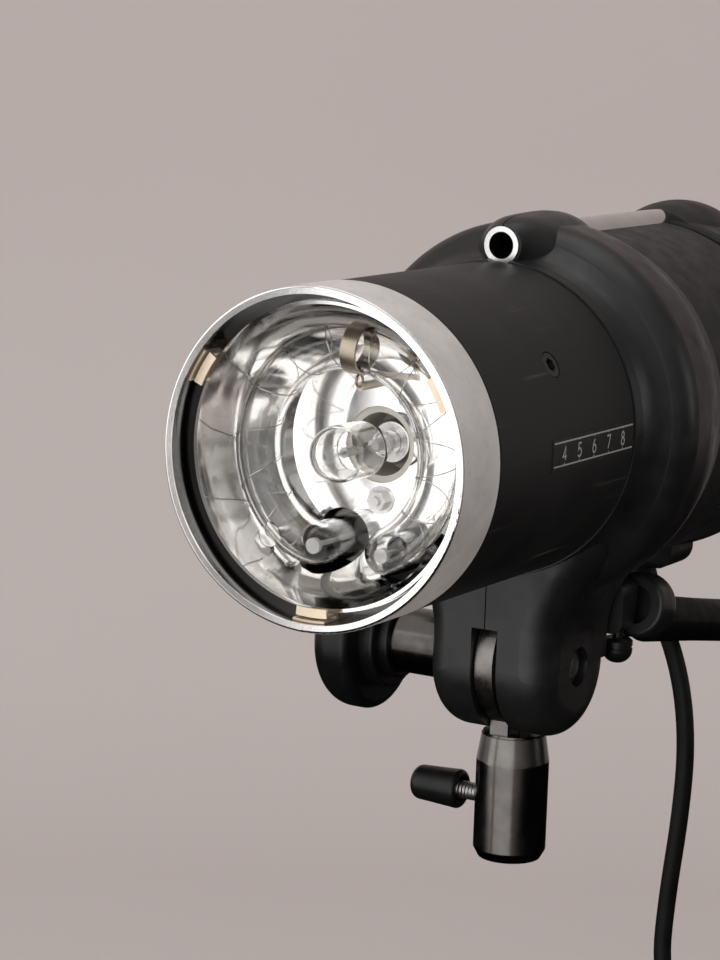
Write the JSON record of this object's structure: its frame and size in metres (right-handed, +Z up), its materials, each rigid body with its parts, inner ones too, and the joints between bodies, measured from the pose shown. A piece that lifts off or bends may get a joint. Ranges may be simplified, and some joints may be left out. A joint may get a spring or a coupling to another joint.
{
  "type": "studio flash head",
  "caption": "Tubular flash head with ring flash tube and modelling lamp in a mirror dish, on a tilting yoke with clamping stand socket, handle, umbrella tube and coiled lead.",
  "frame": {"origin": "centre of the stand socket's mouth, on the socket's axis", "axes": "+Z up along the socket's axis, -Y the way the light points, +X along the tilt axis away from the tilt knob"},
  "size_m": [0.1284, 0.289, 0.5063],
  "materials": {
    "collar_steel": "satin, with handling smudges; the front rim is polished",
    "tube_black": "matt charcoal with faint scratches",
    "scale_print": "matt black plate with white printed lines and numbers",
    "shell_black": "matt charcoal",
    "panel_grey": "matt",
    "screw_black": "satin black oxide",
    "moulded_black": "matt moulded",
    "switch_black": "semi gloss",
    "lens_red": "clear red lens",
    "dish_mirror": "polished, slightly warm",
    "bright_steel": "bright",
    "clip_cream": "cream heat-proof tabs",
    "flash_glass": "clear glass, frosted by wear inside",
    "electrode_metal": "bright",
    "ceramic_white": "unglazed white ceramic",
    "clip_metal": "spring steel",
    "lamp_glass": "clear glass",
    "filament_metal": "bright wire",
    "inner_metal": "plain",
    "board_green": "printed board",
    "yoke_black": "satin black casting",
    "chrome_tube": "chromed",
    "disc_metal": "satin, turned",
    "washer_black": "matt friction material",
    "anodised_dark": "satin dark anodised",
    "knob_black": "satin moulded",
    "brass_pad": "plain",
    "grip_black": "matt",
    "cable_rubber": "matt",
    "tie_black": "hook-and-loop strap",
    "plug_black": "matt moulded"
  },
  "bodies": {
    "stand": {"stand_socket": "anodised_dark", "tilt_disc": "disc_metal", "friction_washer_left": "washer_black", "friction_washer_right": "washer_black"},
    "head": {"front_collar": "collar_steel", "body_tube": "tube_black", "scale_plate": "scale_print", "rear_shell": "shell_black", "rear_cap": "shell_black", "rear_panel": "panel_grey", "body_screw_1": "screw_black", "body_screw_2": "screw_black", "body_screw_3": "screw_black", "fan_guard": "moulded_black", "fan_frame": "moulded_black", "ready_lamp": "lens_red", "fuse_holder": "switch_black", "reflector_dish": "dish_mirror", "mirror_plate": "dish_mirror", "plate_stud_nut": "bright_steel", "dish_rivet": "bright_steel", "cover_clip_1": "clip_cream", "cover_clip_2": "clip_cream", "cover_clip_3": "clip_cream", "flash_tube": "flash_glass", "electrode_left_post": "electrode_metal", "electrode_right_post": "electrode_metal", "tube_socket_left": "ceramic_white", "tube_socket_right": "ceramic_white", "tube_clip": "clip_metal", "lamp_glass": "lamp_glass", "lamp_filament_stem": "filament_metal", "lamp_cap": "bright_steel", "lamp_socket": "ceramic_white", "lamp_carrier": "inner_metal", "trigger_transformer": "moulded_black", "circuit_board": "board_green", "yoke_left": "yoke_black", "yoke_right": "yoke_black", "umbrella_tube": "chrome_tube", "clamp_sleeve": "anodised_dark", "clamp_nut": "screw_black", "handle_grip": "grip_black", "handle_bracket": "yoke_black", "cable_block": "moulded_black", "cable_gland": "cable_rubber", "cable_run": "cable_rubber", "cable_coil": "cable_rubber", "cable_tail": "cable_rubber", "coil_tie": "tie_black", "lamp_plug": "plug_black"},
    "tilt_clamp": {"tilt_knob": "knob_black", "clamp_bolt": "bright_steel"},
    "thumb_pad": {"pressure_pad": "brass_pad"},
    "thumb_screw": {"thumb_stud": "bright_steel", "thumb_knob": "knob_black"},
    "handle_lock": {"handle_lock_knob": "knob_black"},
    "rocker": {"rocker_switch": "switch_black"},
    "button": {"test_button": "switch_black"},
    "fan": {"fan_rotor": "moulded_black"}
  },
  "joints": [
    {"name": "head_tilt", "type": "hinge", "parent": "stand", "child": "head", "pos_m": [0, 0, 0.0675], "axis": [1, 0, 0], "range_deg": [-90, 90]},
    {"name": "tilt_clamp_turn", "type": "hinge", "parent": "head", "child": "tilt_clamp", "pos_m": [0, 0, 0.0675], "axis": [-1, 0, 0], "range_deg": [0, 270]},
    {"name": "thumb_pad_slide", "type": "slide", "parent": "stand", "child": "thumb_pad", "axis": [1, 0, 0], "range_m": [-0.0005, 0.002]},
    {"name": "thumb_screw_turn", "type": "hinge", "parent": "thumb_pad", "child": "thumb_screw", "pos_m": [-0.02, 0, 0.0193], "axis": [1, 0, 0], "range_deg": [-180, 720]},
    {"name": "handle_lock_turn", "type": "hinge", "parent": "head", "child": "handle_lock", "pos_m": [0.022, 0.0298, 0.071], "axis": [0, 0, -1], "range_deg": [0, 360]},
    {"name": "rocker_press", "type": "hinge", "parent": "head", "child": "rocker", "pos_m": [-0.017, 0.1473, 0.1195], "axis": [0, 0, 1], "range_deg": [0, 16]},
    {"name": "test_press", "type": "slide", "parent": "head", "child": "button", "axis": [0, -1, 0], "range_m": [0, 0.0025], "stiffness_N_per_m": 400, "springref_m": -0.002},
    {"name": "fan_spin", "type": "hinge", "parent": "head", "child": "fan", "pos_m": [0, 0.136, 0.1615], "axis": [0, 1, 0], "continuous": true}
  ],
  "couplings": [
    {"joint": "thumb_screw_turn", "follows": "thumb_pad_slide", "rad_per_m": 6283.2}
  ]
}
